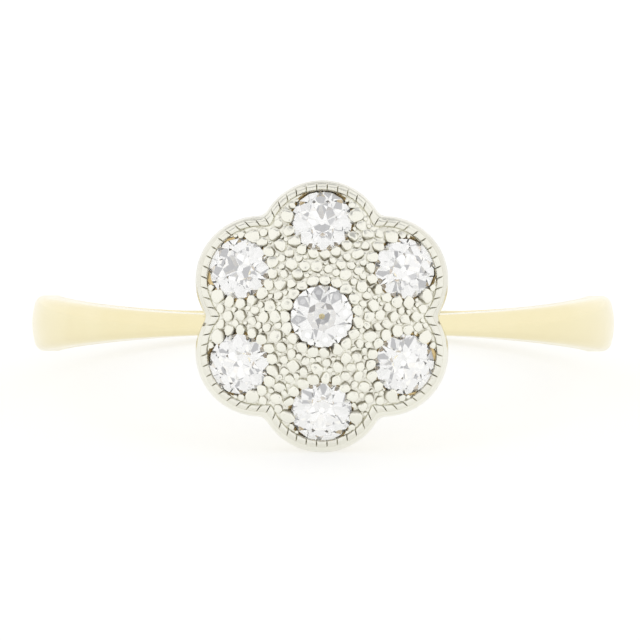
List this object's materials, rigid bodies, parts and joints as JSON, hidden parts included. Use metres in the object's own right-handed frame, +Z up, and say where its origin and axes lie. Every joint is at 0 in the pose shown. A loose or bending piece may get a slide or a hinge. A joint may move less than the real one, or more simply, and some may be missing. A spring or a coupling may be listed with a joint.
{
  "type": "cluster ring",
  "caption": "Finger ring with a domed daisy-shaped face of bead-set round stones, on a band with narrowing shoulders.",
  "frame": {"origin": "on the floor, under the middle of the ring's box as it lies on its side", "axes": "+X across the ring from shoulder to shoulder, +Y from the face towards the back of the band, +Z up; the finger's axis leans back from +Z by the angle at which the ring rests"},
  "size_m": [0.0198, 0.0211, 0.0088],
  "materials": {
    "yellow_gold": "polished 18 carat yellow gold",
    "white_metal": "platinum, grained and millegrained",
    "clear_stone": "clear round brilliants, polished"
  },
  "bodies": {
    "root": {"shank": "yellow_gold", "cluster_head": "white_metal", "stone_center": "clear_stone", "stone_1": "clear_stone", "stone_2": "clear_stone", "stone_3": "clear_stone", "stone_4": "clear_stone", "stone_5": "clear_stone", "stone_6": "clear_stone"}
  },
  "joints": []
}
